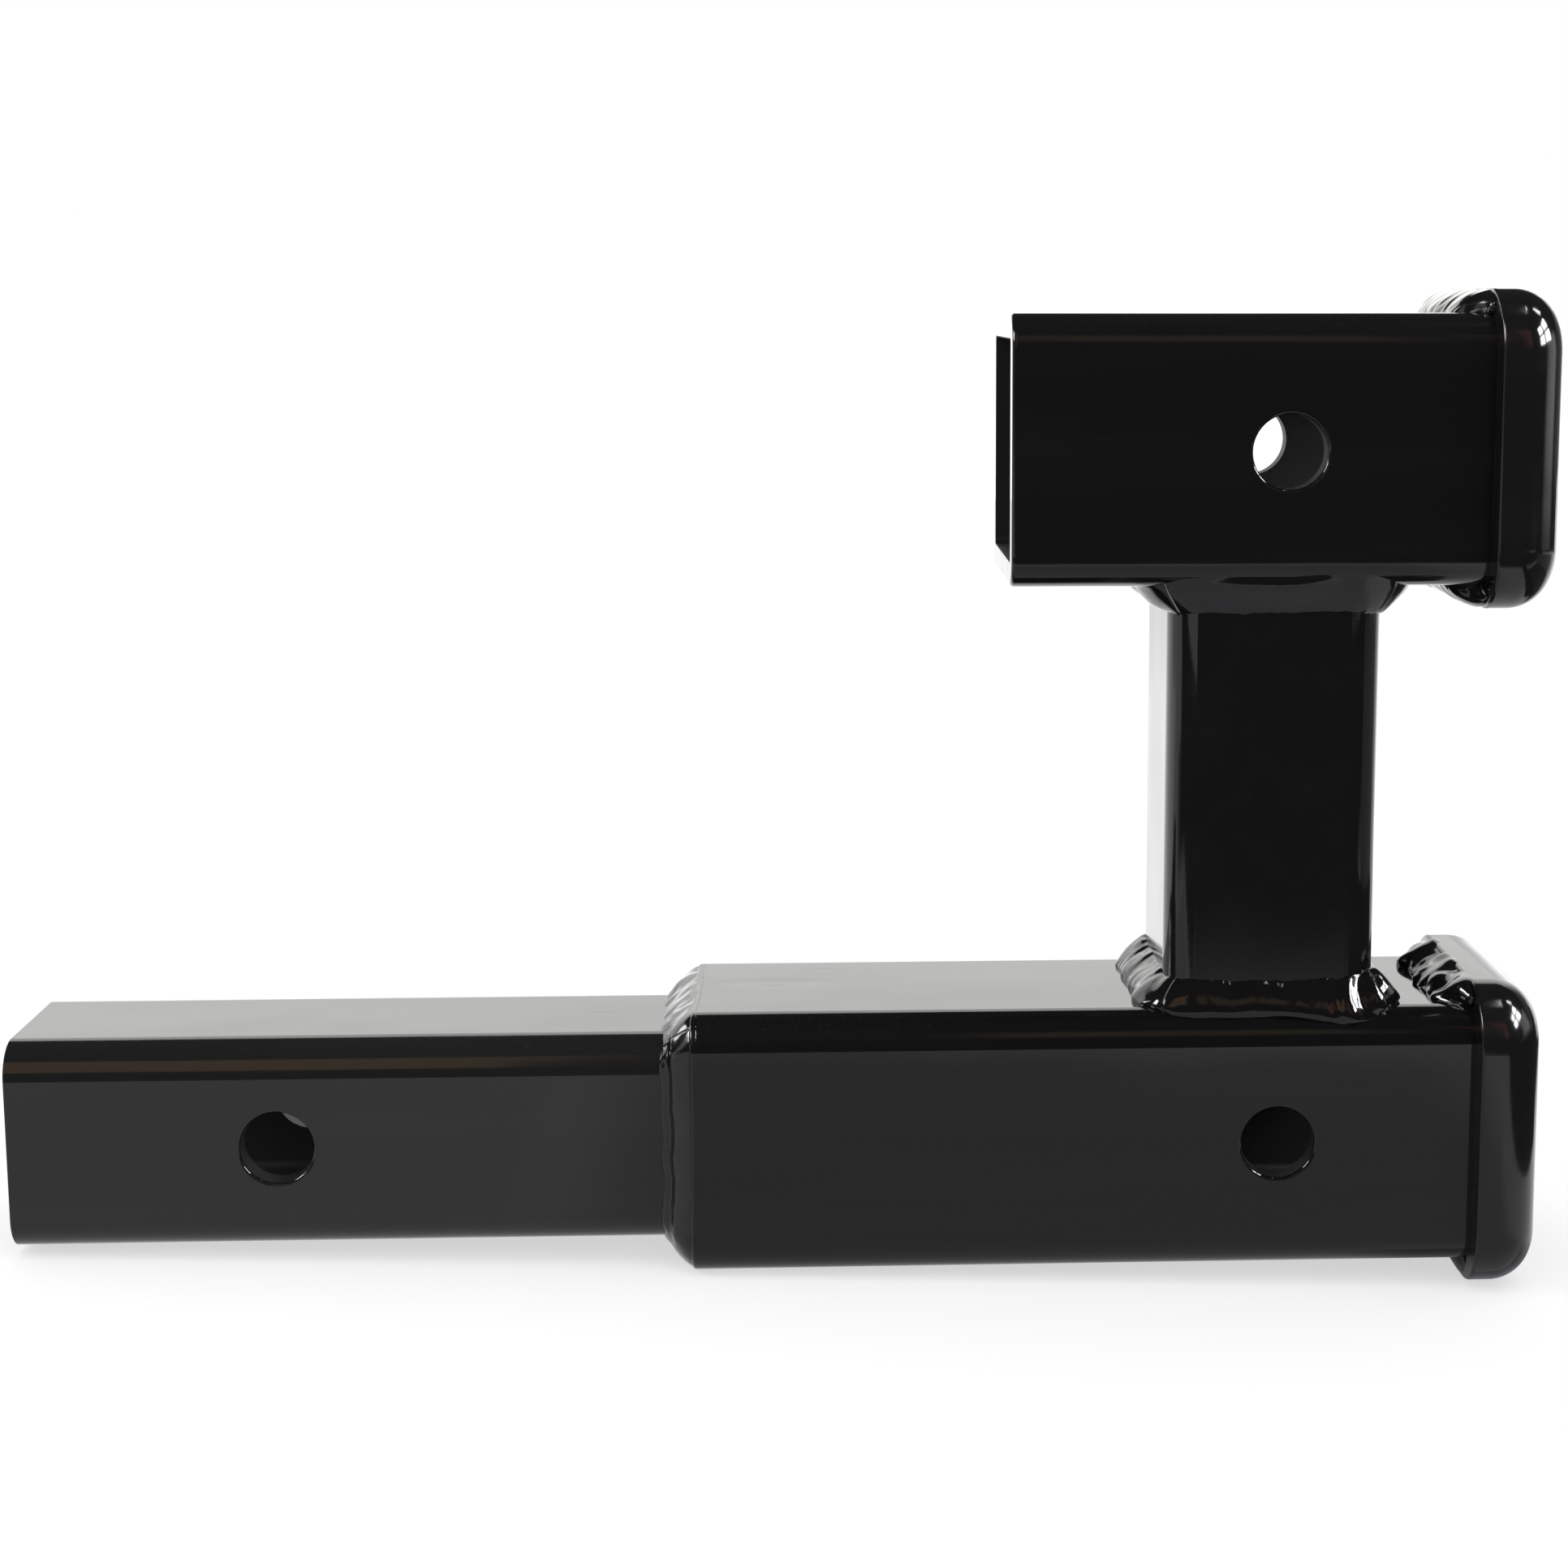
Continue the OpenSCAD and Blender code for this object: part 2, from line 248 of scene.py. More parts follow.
# 1 on the drilled wall of a cross hole, up to the rounding of its rims
def makeBoreGroup():
    group, start, end = newGroup(
        "pinBore", (("x", 0.0), ("z", 0.0), ("radius", 0.009), ("half", 0.03)), ("mask",))
    coords = addNode(group, "ShaderNodeTexCoord", (-900, 200))
    parts = addNode(group, "ShaderNodeSeparateXYZ", (-700, 200))
    group.links.new(coords.outputs["Object"], parts.inputs[0])
    squares = []
    for axis in "XZ":
        offset = mathNode(group, "SUBTRACT", parts.outputs[axis], start.outputs[axis.lower()],
                          place=(-500, 200))
        squares.append(mathNode(group, "MULTIPLY", offset, offset, place=(-300, 200)))
    away = mathNode(group, "SQRT", mathNode(group, "ADD", *squares, place=(-100, 200)), place=(50, 200))
    near = mathNode(group, "LESS_THAN", away, start.outputs["radius"], place=(200, 200))
    depth = mathNode(group, "ABSOLUTE", parts.outputs["Y"], place=(-100, 0))
    within = mathNode(group, "LESS_THAN", depth, start.outputs["half"], place=(200, 0))
    total = mathNode(group, "MULTIPLY", near, within, place=(400, 100))
    group.links.new(total, end.inputs["mask"])
    return group


# 0 at the middle line across a ring's width, falling to -1 at its faces
def makeCrownGroup():
    group, start, end = newGroup("ringCrown", (("middle", 0.0), ("half", 0.008)), ("height",))
    coords = addNode(group, "ShaderNodeTexCoord", (-900, 200))
    parts = addNode(group, "ShaderNodeSeparateXYZ", (-700, 200))
    group.links.new(coords.outputs["Object"], parts.inputs[0])
    offset = mathNode(group, "SUBTRACT", parts.outputs["X"], start.outputs["middle"], place=(-500, 200))
    share = mathNode(group, "DIVIDE", offset, start.outputs["half"], place=(-300, 200))
    square = mathNode(group, "MULTIPLY", share, share, place=(-100, 200))
    fall = mathNode(group, "MULTIPLY", square, -1.0, place=(100, 200))
    group.links.new(fall, end.inputs["height"])
    return group


# A soft spot round a place: 1 in its middle and 0 at its rim
def makeSpotGroup():
    group, start, end = newGroup(
        "softSpot",
        (("x", 0.0), ("y", 0.0), ("z", 0.0), ("sizeX", 0.01), ("sizeY", 0.01), ("sizeZ", 0.01)), ("mask",))
    coords = addNode(group, "ShaderNodeTexCoord", (-900, 200))
    place = addNode(group, "ShaderNodeCombineXYZ", (-900, 0))
    size = addNode(group, "ShaderNodeCombineXYZ", (-900, -200))
    for label in "xyz":
        group.links.new(start.outputs[label], place.inputs[label.upper()])
        group.links.new(start.outputs["size" + label.upper()], size.inputs[label.upper()])
    away = addNode(group, "ShaderNodeVectorMath", (-600, 200), operation="SUBTRACT")
    scaled = addNode(group, "ShaderNodeVectorMath", (-400, 200), operation="DIVIDE")
    length = addNode(group, "ShaderNodeVectorMath", (-200, 200), operation="LENGTH")
    group.links.new(coords.outputs["Object"], away.inputs[0])
    group.links.new(place.outputs[0], away.inputs[1])
    group.links.new(away.outputs[0], scaled.inputs[0])
    group.links.new(size.outputs[0], scaled.inputs[1])
    group.links.new(scaled.outputs[0], length.inputs[0])
    mask = remap(group, length.outputs["Value"], 0.0, 1.0, 1.0, 0.0, place=(0, 200))
    group.links.new(mask, end.inputs["mask"])
    return group


# Short handling scuffs: thin broken lines that only show as dull paint
def makeScuffGroup():
    group, start, end = newGroup("handlingScuffs", (("scale", 30.0), ("amount", 1.0)), ("mask",))
    coords = addNode(group, "ShaderNodeTexCoord", (-1100, 300))
    turn = addNode(group, "ShaderNodeMapping", (-900, 300), vector_type="POINT")
    turn.inputs["Rotation"].default_value = (0.3, 0.5, 0.2)
    turn.inputs["Scale"].default_value = (1.0, 9.0, 9.0)
    lines = addNode(group, "ShaderNodeTexNoise", (-600, 300), Detail=2.0, Roughness=0.5)
    spread = addNode(group, "ShaderNodeTexNoise", (-600, 0), Scale=24.0, Detail=1.0)
    group.links.new(coords.outputs["Object"], turn.inputs["Vector"])
    group.links.new(turn.outputs[0], lines.inputs["Vector"])
    group.links.new(start.outputs["scale"], lines.inputs["Scale"])
    group.links.new(coords.outputs["Object"], spread.inputs["Vector"])
    thin = remap(group, lines.outputs[0], 0.7, 0.76, place=(-300, 300))
    where = remap(group, spread.outputs[0], 0.5, 0.65, place=(-300, 0))
    both = mathNode(group, "MULTIPLY", thin, where, place=(0, 200))
    total = mathNode(group, "MULTIPLY", both, start.outputs["amount"], place=(200, 200))
    group.links.new(total, end.inputs["mask"])
    return group


peelGroup = makePeelGroup()
spotGroup = makeSpotGroup()
scuffGroup = makeScuffGroup()
insideGroup = makeInsideGroup()
boreGroup = makeBoreGroup()
crownGroup = makeCrownGroup()
streakGroup = makeStreakGroup()
edgeWearAndHighlightGroup = makeEdgeWearAndHighlightGroup()
dustGroup = makeDustGroup()


# Paint

def paintMaterial(name, look):
    material = bpy.data.materials.new(name)
    tree = newTree(material)
    shader = addNode(tree, "ShaderNodeBsdfPrincipled", (600, 0))
    shader.inputs["Metallic"].default_value = 0.0
    shader.inputs["IOR"].default_value = look["ior"]
    output = addNode(tree, "ShaderNodeOutputMaterial", (900, 0))
    tree.links.new(shader.outputs[0], output.inputs["Surface"])

    relief = useGroup(tree, peelGroup, (-300, -500), peelScale=look["peelScale"], peel=look["peel"],
                      waveScale=look["waveScale"], wave=look["wave"])
    streaks = useGroup(tree, streakGroup, (-600, 0), scale=look["streakScale"],
                       stretch=look["streakStretch"], amount=look["streaks"])
    edgeWearAndHighlight = useGroup(tree, edgeWearAndHighlightGroup, (-600, 300), radius=look["edgeRadius"])
    dust = useGroup(tree, dustGroup, (-600, 600), scale=look["dustScale"], amount=look["dust"])

    hazy = addNode(tree, "ShaderNodeMix", (-400, 600), data_type="RGBA")
    hazy.inputs["A"].default_value = (*look["colour"], 1)
    hazy.inputs["B"].default_value = (*look["hazeColour"], 1)
    tree.links.new(mathNode(tree, "MULTIPLY", streaks.outputs[0], look["haze"], place=(-600, 500)),
                   hazy.inputs["Factor"])
    # Lighter colour along sharp edges and hole rims: edge wear and a painted highlight
    wornAndHighlighted = addNode(tree, "ShaderNodeMix", (-200, 400), data_type="RGBA")
    tree.links.new(hazy.outputs["Result"], wornAndHighlighted.inputs["A"])
    wornAndHighlighted.inputs["B"].default_value = (*look["wornAndHighlightColour"], 1)
    tree.links.new(mathNode(tree, "MULTIPLY", edgeWearAndHighlight.outputs[0], look["wear"], place=(-400, 300)),
                   wornAndHighlighted.inputs["Factor"])
    dusty = addNode(tree, "ShaderNodeMix", (100, 400), data_type="RGBA")
    dusty.inputs["B"].default_value = (*look["dustColour"], 1)
    tree.links.new(wornAndHighlighted.outputs["Result"], dusty.inputs["A"])
    tree.links.new(dust.outputs[0], dusty.inputs["Factor"])
    inside = useGroup(tree, insideGroup, (-600, 900), half=look["insideHalf"], middleZ=look["insideZ"])
    coloured = addNode(tree, "ShaderNodeMix", (300, 400), data_type="RGBA")
    coloured.inputs["B"].default_value = (*look["insideColour"], 1)
    tree.links.new(dusty.outputs["Result"], coloured.inputs["A"])
    tree.links.new(inside.outputs[0], coloured.inputs["Factor"])
    colour = coloured.outputs["Result"]
    bare = mathNode(tree, "MULTIPLY", inside.outputs[0], look["bareRoughness"], place=(-200, 800))
    if look["bore"]:
        x, z, half = look["bore"]
        bore = useGroup(tree, boreGroup, (-600, 1100), x=x, z=z, radius=look["boreRadius"], half=half)
        # Painted shade: the walls of the pin holes are coloured darker than the paint
        drilled = addNode(tree, "ShaderNodeMix", (450, 500), data_type="RGBA")
        drilled.inputs["B"].default_value = (*look["boreShadeColour"], 1)
        tree.links.new(colour, drilled.inputs["A"])
        tree.links.new(bore.outputs[0], drilled.inputs["Factor"])
        colour = drilled.outputs["Result"]
        walls = mathNode(tree, "MULTIPLY", bore.outputs[0], look["bareRoughness"], place=(-200, 1000))
        bare = mathNode(tree, "MAXIMUM", bare, walls, place=(0, 900))
    tree.links.new(colour, shader.inputs["Base Color"])

    rough = mathNode(tree, "MULTIPLY_ADD", streaks.outputs[0], look["streakRoughness"], look["roughness"],
                     place=(-200, 0))
    rough = mathNode(tree, "MULTIPLY_ADD", dust.outputs[0], look["dustRoughness"], rough, place=(0, 0))
    rough = mathNode(tree, "MULTIPLY_ADD", edgeWearAndHighlight.outputs[0], look["edgeRoughness"], rough, place=(200, 0))
    rough = mathNode(tree, "MAXIMUM", rough, bare, place=(400, 0))
    scuffs = useGroup(tree, scuffGroup, (-600, -200), amount=look["scuffs"])
    rough = mathNode(tree, "MULTIPLY_ADD", scuffs.outputs[0], look["scuffRoughness"], rough, place=(500, 0))
    tree.links.new(rough, shader.inputs["Roughness"])

    height = mathNode(tree, "MULTIPLY_ADD", streaks.outputs[0], look["drawLines"], relief.outputs[0],
                      place=(0, -400))
    if look["crown"]:
        crown = useGroup(tree, crownGroup, (-300, -700), middle=look["crownMiddle"], half=look["crownHalf"])
        height = mathNode(tree, "MULTIPLY_ADD", crown.outputs[0], look["crown"], height, place=(50, -500))
    for part, size in (("dent", look["dentSize"]), ("chip", (look["chipSize"],) * 3)):
        if look[part]:
            x, y, z = look[part + "Place"]
            spot = useGroup(tree, spotGroup, (-300, -800), x=x, y=y, z=z,
                            sizeX=size[0], sizeY=size[1], sizeZ=size[2])
            height = mathNode(tree, "MULTIPLY_ADD", spot.outputs[0], -look[part], height, place=(100, -600))
    bump = addNode(tree, "ShaderNodeBump", (200, -400), Strength=1.0, Distance=look["reliefDepth"])
    tree.links.new(height, bump.inputs["Height"])
    tree.links.new(bump.outputs[0], shader.inputs["Normal"])
    return material


glossBlack = {
    "colour": (0.0068, 0.0068, 0.0072),
    "hazeColour": (0.0135, 0.0135, 0.0145),
    "haze": 0.35,
    # lighter colour along sharp edges and hole rims: edge wear and a painted highlight
    "wornAndHighlightColour": (0.16, 0.16, 0.165),
    "dustColour": (0.12, 0.12, 0.115),
    "ior": 1.4,
    "roughness": 0.06,
    "peelScale": 900.0,
    "peel": 0.25,
    "waveScale": 26.0,
    "wave": 20.0,
    "reliefDepth": 0.00002,
    "streakScale": 60.0,
    "streakStretch": 0.06,
    "streaks": 1.0,
    "streakRoughness": 0.05,
    "edgeRadius": 0.0006,
    "wear": 0.5,
    "edgeRoughness": 0.02,
    "dustScale": 700.0,
    "dust": 0.14,
    "dustRoughness": 0.3,
    "insideHalf": 0.0,
    "insideZ": 0.0,
    # inside colour, lighter than the paint on the lower tube: partly bare steel, partly painted light for the
    # glow seen in the dark insides
    "insideColour": (0.012, 0.012, 0.0125),
    "bore": None,
    "boreRadius": 0.00882,
    # painted shade in the pin holes: darker than the paint
    "boreShadeColour": (0.003, 0.003, 0.0032),
    "crown": 0.0,
    "crownMiddle": 0.0,
    "crownHalf": 0.008,
    "drawLines": 0.12,
    "dentPlace": (0.0, 0.0, 0.0),
    "dentSize": (0.01, 0.01, 0.01),
    "dent": 0.0,
    "chipPlace": (0.0, 0.0, 0.0),
    "chipSize": 0.001,
    "chip": 0.0,
    "scuffs": 0.5,
    "scuffRoughness": 0.25,
    "bareRoughness": 0.6,
}


def varied(look, **changes):
    return {**look, **changes}


# Where the paint changes on the tubes: pin holes, drilled walls between their rims, and insides
pinPlace = {"shank": 0.0, "mouth": collarHigh.x - tube["pinFromEnd"]}
boreHalf = {"shank": (tube["shankWidth"] / 2 - tube["pinRim"]) * mm,
            "receiver": (tube["receiverWidth"] / 2 - tube["pinRim"]) * mm}
insideHalf = {"shank": (tube["shankWidth"] / 2 - tube["wall"] + 0.1) * mm,
              "receiver": (tube["receiverWidth"] / 2 - tube["wall"] + 0.6) * mm}
# One gloss black paint on every part, but its base colour is set per part to how bright each part looks:
# painted light and shade, lightest on the shank and darkest on the lower tube
paints = {
    "shankPaint": paintMaterial("shankPaint", varied(
        # painted light: the shank's base and haze colours are lighter than the paint elsewhere
        glossBlack, colour=(0.0148, 0.0148, 0.015), hazeColour=(0.0225, 0.0225, 0.0225), ior=1.42,
        # the shank's inside is much lighter than its paint: partly bare steel, partly painted light for the
        # glow seen in its dark inside and pin hole
        roughness=0.09, insideHalf=insideHalf["shank"], insideColour=(0.05, 0.049, 0.048),
        bore=(pinPlace["shank"] * mm, 0.0, boreHalf["shank"]))),
    "lowerTubePaint": paintMaterial("lowerTubePaint", varied(
        glossBlack, insideHalf=insideHalf["receiver"], dentPlace=(0.118, 0.004, 0.0318),
        dentSize=(0.017, 0.006, 0.01), dent=4.0, bore=(pinPlace["mouth"] * mm, 0.0, boreHalf["receiver"]))),
    "upperTubePaint": paintMaterial("upperTubePaint", varied(
        # painted light: a lighter base colour than the lower tube's
        glossBlack, colour=(0.0081, 0.0081, 0.0085), insideHalf=insideHalf["receiver"],
        insideZ=tube["rise"] * mm, insideColour=(0.006, 0.006, 0.0064),
        bore=(pinPlace["mouth"] * mm, tube["rise"] * mm, boreHalf["receiver"]))),
    "riserPaint": paintMaterial("riserPaint", varied(
        # painted light: a lighter base colour than the lower tube's
        glossBlack, colour=(0.0086, 0.0086, 0.009), streakStretch=1.0)),
    "collarPaint": paintMaterial("collarPaint", varied(
        # painted light: the collars' base colour is lighter than the lower tube's
        glossBlack, colour=(0.0105, 0.0105, 0.011), wave=7.0, waveScale=60.0, roughness=0.09, drawLines=0.0,
        crown=14.0, crownMiddle=(collarLow.x + 3.5) * mm, chipPlace=(0.2935, -0.0345, -0.0335),
        chipSize=0.0009, chip=1.0)),
    "weldPaint": paintMaterial("weldPaint", varied(
        glossBlack, ior=1.44, peel=1.2, peelScale=600.0, roughness=0.08, wear=0.0)),
}
paintedNodes = {
    "shank": "shankPaint",
    "lower_receiver": "lowerTubePaint",
    "upper_receiver": "upperTubePaint",
    "riser": "riserPaint",
    "lower_collar": "collarPaint",
    "upper_collar": "collarPaint",
}


def paintNode(name, material):
    slots = nodes[name].data.materials
    slots.clear()
    slots.append(material)


for name, paint in paintedNodes.items():
    paintNode(name, paints[paint])
print("paint done")


# Weld beads: each is one swept run with its own ripples, lumps and ragged toes

bead = {
    "step": 0.4,         # mm between stations along a run
    "facePoints": 26,    # points across the face
    "sink": 0.25,        # mm that toes and root go into the tubes
    "sweep": 0.5,        # how far the ripples bow, in pitches
    "jitter": 0.8,       # how unevenly the ripples are spaced
    "root": 0.8,         # mm from the tubes' meeting line to the hidden corner of the section
    "blend": 0.22,       # share of a run over which it turns into its neighbour
    "edge": 0.15,        # share of the face over which ripples and lumps rise from the toes
    "ridgeMiddle": 0.45,  # place of the ridge's middle along a run
    "ridgeReach": 0.4,   # and how far it runs from there
    "ridgeLine": 0.22,   # share across the face of the ridge
    "ridgeFall": 0.6,    # and of its long flank
    "grooveLine": 0.24,  # share across the face of the groove
    "grooveHalf": 0.18,  # and of half its width
}


def lerp(a, b, t):
    return a + (b - a) * t


def smooth(t):
    t = max(0.0, min(1.0, t))
    return t * t * (3 - 2 * t)


def turned(x, y, quarter):
    for _ in range(quarter % 4):
        x, y = -y, x
    return x, y


# A side of a rounded square from mid-corner to mid-corner: place and outward normal
def sidePoint(width, corner, side, share):
    arc, flat = math.pi * corner / 4, width - 2 * corner
    along = share * (2 * arc + flat)
    if along < arc:
        angle = math.radians(-45 + 45 * along / arc)
        centre = (width / 2 - corner, corner - width / 2)
    elif along <= arc + flat:
        angle = 0.0
        centre = (width / 2 - corner, corner - width / 2 + along - arc)
    else:
        angle = math.radians(45 * (along - arc - flat) / arc)
        centre = (width / 2 - corner, width / 2 - corner)
    normal = (math.cos(angle), math.sin(angle))
    point = (centre[0] + corner * normal[0], centre[1] + corner * normal[1])
    return turned(*point, side), turned(*normal, side)


def sideLength(width, corner):
    return width - 2 * corner + math.pi * corner / 2


# A value that depends on the place round the whole ring, so neighbouring runs agree where they meet
def ringNoise(ringPlace, ringLength, size, seed):
    radius = ringLength / (2 * math.pi * size)
    angle = ringPlace / ringLength * 2 * math.pi
    return noise.noise(Vector((radius * math.cos(angle), radius * math.sin(angle), seed)))


def lumpAt(point, size, seed):
    return noise.noise(point / size + Vector((seed, seed * 0.7, -seed)))


def creaseAt(point, size, seed):
    return 1 - 2 * abs(noise.noise(point / size + Vector((seed * 1.3, -seed, seed * 0.4))))


def faceHeight(look, u, ringPlace, ringLength, point, seed):
    swell = 4 * u * (1 - u)
    pitch = look["pitch"]
    drift = bead["jitter"] * ringNoise(ringPlace, ringLength, pitch * 2.2, seed)
    phase = ringPlace / pitch - bead["sweep"] * swell + drift
    part = (phase - math.floor(phase)) ** 0.75
    ripple = 0.5 - 0.5 * math.cos(2 * math.pi * part)
    strength = 0.6 + 0.8 * ringNoise(ringPlace, ringLength, pitch * 1.7, seed + 1.7)
    edge = smooth(u / bead["edge"]) * smooth((1 - u) / bead["edge"])
    height = edge * look["ripple"] * strength * (ripple - 0.4)
    streakPlace = ringPlace - bead["sweep"] * pitch * swell
    height += edge * look["streak"] * ringNoise(streakPlace, ringLength, 1.7, seed + 5)
    height += edge * look["lump"] * lumpAt(point, look["lumpSize"], seed)
    if look["ridge"]:
        along = abs(ringPlace / ringLength * 4 % 1 - bead["ridgeMiddle"]) / bead["ridgeReach"]
        flank = bead["ridgeLine"] if u < bead["ridgeLine"] else bead["ridgeFall"]
        across = abs(u - bead["ridgeLine"]) / flank
        height += look["ridge"] * smooth(1.6 - 1.6 * along) * smooth(1 - across)
    height -= look["groove"] * smooth(1 - abs(u - bead["grooveLine"]) / bead["grooveHalf"])
    if look["crease"]:
        height += edge * look["crease"] * (creaseAt(point, look["creaseSize"], seed) - 0.6)
    return height


# How strongly a place on a ring belongs to a bump centred on it
def ringBump(ringPlace, ringLength, centre, reach):
    away = abs((ringPlace - centre + ringLength / 2) % ringLength - ringLength / 2)
    return smooth(1 - away / reach)


# Short lobes where a run was stopped and started again, at one corner of the ring
def lobeHeight(lobes, u, ringPlace, ringLength):
    near = ringBump(ringPlace, ringLength, lobes["centre"] * ringLength, lobes["reach"])
    beat = math.cos(2 * math.pi * (ringPlace / lobes["pitch"] + 0.35 * math.sin(3 * u) + lobes["phase"]))
    return smooth(u / 0.12) * smooth((1 - u) / 0.12) * near * lobes["height"] * (beat + 0.4)


def meshFromRings(name, rings):
    count, size = len(rings), len(rings[0])
    points = [point * mm for ring in rings for point in ring]
    faces = []
    for i in range(count - 1):
        for j in range(size):
            k = (j + 1) % size
            faces.append((i * size + j, i * size + k, (i + 1) * size + k, (i + 1) * size + j))
    faces.append(tuple(reversed(range(size))))
    faces.append(tuple((count - 1) * size + j for j in range(size)))
    mesh = bpy.data.meshes.new(name)
    mesh.from_pydata(points, [], faces)
    bm = bmesh.new()
    bm.from_mesh(mesh)
    bmesh.ops.recalc_face_normals(bm, faces=bm.faces)
    bm.to_mesh(mesh)
    bm.free()
    for polygon in mesh.polygons:
        polygon.use_smooth = True
    return mesh


def placePiece(name, mesh, material, replaced):
    piece = bpy.data.objects.new(name, mesh)
    scene.collection.objects.link(piece)
    mesh.materials.append(material)
    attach(piece, "root")
    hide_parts(replaced)


# The face of a bead from its toe on one tube to its top on the other, as a curve with four control
# points: full is 0 for a flat face and 1 for a full quarter round
def facePoint(toe, top, out, up, full, belly, u):
    chord = top - toe
    rise, run = chord.dot(up), -chord.dot(out)
    fromToe = (toe + chord / 3).lerp(toe + up * rise * 0.55, full[0]) + out * belly
    toTop = (top - chord / 3).lerp(top + out * run * 0.55, full[1])
    v = 1 - u
    point = toe * v ** 3 + fromToe * (3 * v * v * u) + toTop * (3 * v * u * u) + top * u ** 3
    slope = (fromToe - toe) * v * v + (toTop - fromToe) * (2 * v * u) + (top - toTop) * u * u
    axis = out.cross(up)
    normal = slope.cross(axis).normalized()
    if normal.dot(out + up) < 0:
        normal = -normal
    return point, normal


def bodyPoint(look, section, u, ringPlace, ringLength, seed, lobes):
    root, toe, top, out, up = section
    point, normal = facePoint(toe, top, out, up, look["full"], look["belly"], u)
    height = faceHeight(look, u, ringPlace, ringLength, point, seed)
    if lobes:
        height += lobeHeight(lobes, u, ringPlace, ringLength)
    return point + normal * height


# How far a place near the end of a run already looks like the next run; both agree where they meet
def sideShare(share, looks):
    if share < 0.5:
        return looks[0], 0.5 * smooth(1 - share / bead["blend"])
    return looks[2], 0.5 * smooth(1 - (1 - share) / bead["blend"])


# One run. looks are those of the run before, this run and the next one. sectionAt(share) gives its
# root, its toes on both tubes and its out and up directions
def weldRun(name, node, length, looks, sectionAt, ringStart, ringLength, seed, shares=(0.0, 1.0), lobes=None):
    steps = max(8, round(length * (shares[1] - shares[0]) / bead["step"]))
    rings = []
    for i in range(steps + 1):
        share = lerp(shares[0], shares[1], i / steps)
        section = sectionAt(share)
        root, _, _, out, up = section
        ringPlace = ringStart + share * length
        neighbour, part = sideShare(share, looks)
        ring = []
        for k in range(bead["facePoints"] + 1):
            u = k / bead["facePoints"]
            point = bodyPoint(looks[1], section, u, ringPlace, ringLength, seed, lobes)
            if part > 0 and neighbour is not looks[1]:
                point = point.lerp(bodyPoint(neighbour, section, u, ringPlace, ringLength, seed, lobes), part)
            ring.append(point)
        ring.append(root - (out + up) * bead["root"])
        rings.append(ring)
    placePiece(name, meshFromRings(name, rings), paints["weldPaint"], node)


def cornerDrop(width, corner, across):
    past = min(abs(across) - (width / 2 - corner), corner)
    return 0.0 if past <= 0 else corner - math.sqrt(max(0.0, corner * corner - past * past))


def blendedValue(key, looks, side, share):
    own, (neighbour, part) = looks[side][key], sideShare(share, roundTheRing(looks, side))
    return lerp(own, neighbour[key], part)


def roundTheRing(looks, side):
    return [looks[(side + step) % 4] for step in (-1, 0, 1)]


def raggedLeg(leg, amount, ringPlace, ringLength, seed):
    broad = ringNoise(ringPlace, ringLength, 9.0, seed)
    fine = ringNoise(ringPlace, ringLength, 2.5, seed + 3.1)
    return leg + amount * (broad + 0.35 * fine)


# Looks of the runs: full shapes the face at the toe and at the top, and lengths are in mm
smoothRun = {
    "full": (0.5, 0.6),
    "belly": 0.0,
    "ripple": 0.1,
    "pitch": 9.0,
    "streak": 0.0,
    "lump": 0.45,
    "lumpSize": 11.0,
    "crease": 0.0,
    "creaseSize": 6.0,
    "ridge": 0.0,
    "groove": 0.0,
    "toeOut": 0.6,      # how ragged the toe is
    "toeUp": 0.8,       # and the top
    "lap": -0.04,       # how far the top passes the receiver's end face
}
shankTopRun = varied(
    smoothRun, full=(0.3, 0.6), ripple=0.12, pitch=4.6, streak=0.06, lump=0.6, lumpSize=6.0, toeOut=1.6,
    lap=0.1)
shankSideRun = varied(
    smoothRun, full=(0.25, 0.5), ripple=0.0, lump=0.3, lumpSize=8.0, groove=0.75, toeOut=0.7)
footFrontRun = varied(
    smoothRun, full=(0.4, 0.4), belly=0.6, ripple=0.35, pitch=6.5, streak=0.07, lump=0.7, lumpSize=7.0,
    toeOut=1.8, toeUp=1.6)
footSideRun = varied(
    smoothRun, full=(-0.4, 0.5), belly=4.4, ripple=0.12, pitch=13.0, lump=0.5, lumpSize=9.0, toeUp=0.9)
headFrontRun = varied(footFrontRun, belly=0.0, ripple=0.3, toeOut=1.2)
headSideRun = varied(
    smoothRun, full=(0.1, 0.1), ripple=0.05, pitch=15.0, lump=0.3, lumpSize=14.0, toeUp=0.9, ridge=0.65)
upperCollarRun = varied(
    smoothRun, full=(0.7, 0.9), ripple=0.25, pitch=7.0, streak=0.06, lump=0.4, lumpSize=8.0, toeOut=1.0)
upperCollarUnder = varied(upperCollarRun, ripple=0.5, pitch=5.0, streak=0.2, toeOut=1.8)
lowerCollarRun = varied(
    smoothRun, full=(0.7, 0.8), ripple=0.8, pitch=9.0, lump=1.6, lumpSize=6.5, crease=0.45, creaseSize=9.0,
    toeOut=2.6)
lowerCollarUnder = varied(smoothRun, full=(0.0, 0.0), toeOut=0.4)


shankWeld = {"alongShank": 7.3, "over": 1.8, "seed": 4.0}


